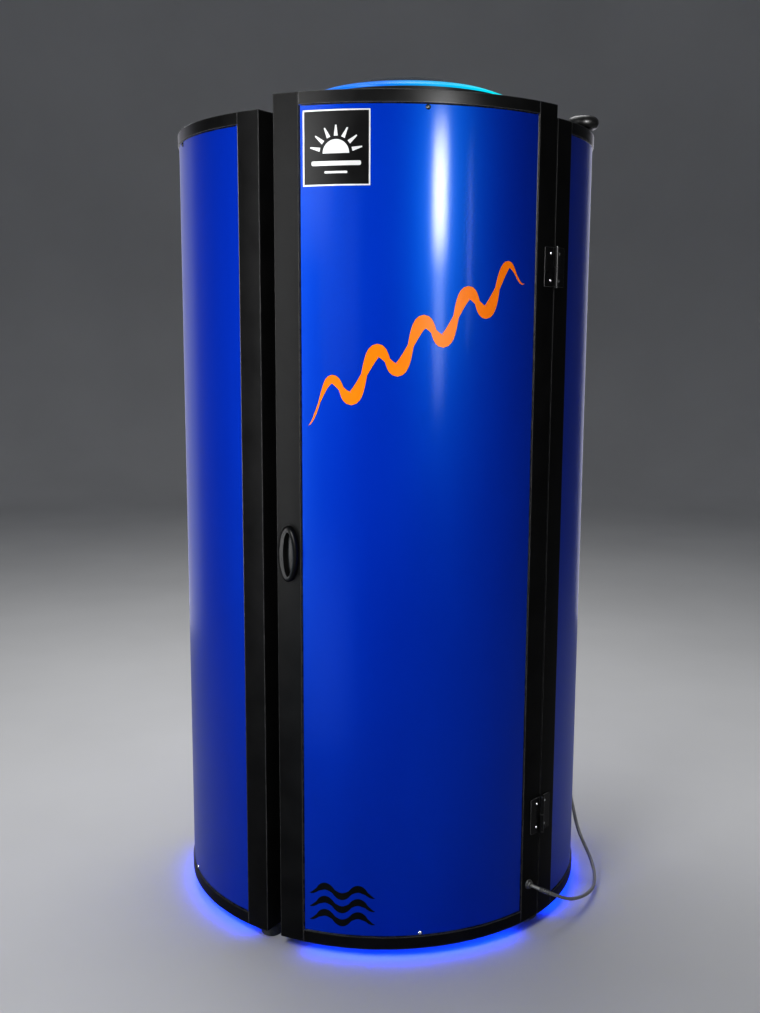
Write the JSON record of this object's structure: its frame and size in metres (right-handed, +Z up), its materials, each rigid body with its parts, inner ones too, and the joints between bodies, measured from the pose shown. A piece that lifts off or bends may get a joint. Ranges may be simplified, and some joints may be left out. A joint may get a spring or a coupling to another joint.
{
  "type": "upright tanning booth",
  "caption": "Upright walk-in tanning booth: curved lamp walls in black frames, a hinged front door with a finger pull, and a roof fan under a domed cap.",
  "frame": {"origin": "on the floor, on the round cabin's upright axis", "axes": "+Z up, -Y out through the middle of the closed door, +X to the right of someone facing the door, which is the hinge side"},
  "size_m": [1.1261, 1.0747, 2.1179],
  "materials": {
    "frame": "satin black paint",
    "panel": "gloss blue",
    "reflector": "bright",
    "lamp": "white phosphor tubes with white holders",
    "shield": "clear acrylic",
    "hinge": "satin black",
    "pin": "turned",
    "pull": "gloss black",
    "rubber": "matt",
    "deck": "satin black",
    "fan": "matt",
    "wire": "bright",
    "dome": "cyan acrylic, lit from below",
    "cap": "grey",
    "ballast": "grey",
    "timer": "fine texture",
    "knob": "off-white",
    "gland": "matt",
    "cable": "grey jacket"
  },
  "bodies": {
    "booth": {"left_wing_rear_post": "frame", "left_wing_front_post": "frame", "left_wing_top_rail": "frame", "left_wing_bottom_rail": "frame", "left_wing_panel": "panel", "left_wing_reflector": "reflector", "left_wing_lamps": "lamp", "left_wing_shield": "shield", "right_wing_front_post": "frame", "right_wing_rear_post": "frame", "right_wing_top_rail": "frame", "right_wing_bottom_rail": "frame", "right_wing_panel": "panel", "right_wing_reflector": "reflector", "right_wing_lamps": "lamp", "right_wing_shield": "shield", "rear_wall_right_post": "frame", "rear_wall_left_post": "frame", "rear_wall_top_rail": "frame", "rear_wall_bottom_rail": "frame", "rear_wall_panel": "panel", "rear_wall_reflector": "reflector", "rear_wall_lamps": "lamp", "rear_wall_shield": "shield", "lower_hinge_wing_leaf": "hinge", "lower_hinge_pin": "pin", "upper_hinge_wing_leaf": "hinge", "upper_hinge_pin": "pin", "wing_gland": "gland", "link_cable": "cable", "door_stop": "rubber", "foot_right_front": "rubber", "foot_right_rear": "rubber", "foot_left_front": "rubber", "foot_left_rear": "rubber", "left_vent_cap": "cap", "right_vent_cap": "cap", "roof_deck": "deck", "fan_drum": "deck", "fan_dome": "dome", "fan_guard": "wire", "fan_motor": "fan", "ballast_box": "ballast", "timer_box": "timer"},
    "door": {"door_latch_post": "frame", "door_hinge_post": "frame", "door_top_rail": "frame", "door_bottom_rail": "frame", "door_panel": "panel", "door_reflector": "reflector", "door_lamps": "lamp", "door_shield": "shield", "door_pull": "pull", "door_gland": "gland", "lower_hinge_door_leaf": "hinge", "upper_hinge_door_leaf": "hinge"},
    "fan": {"fan_rotor": "fan"},
    "timer": {"timer_knob": "knob"}
  },
  "joints": [
    {"name": "door_swing", "type": "hinge", "parent": "booth", "child": "door", "pos_m": [0.33418, -0.42989, 1], "axis": [0, 0, 1], "range_deg": [0, 115], "deforming": ["link_cable"]},
    {"name": "fan_spin", "type": "hinge", "parent": "booth", "child": "fan", "pos_m": [0.0234, -0.157, 2.03], "axis": [0, 0, 1], "continuous": true},
    {"name": "timer_turn", "type": "hinge", "parent": "booth", "child": "timer", "pos_m": [0.26464, -0.29984, 1.25], "axis": [-0.6617, 0.7498, 0], "range_deg": [0, 300]}
  ]
}
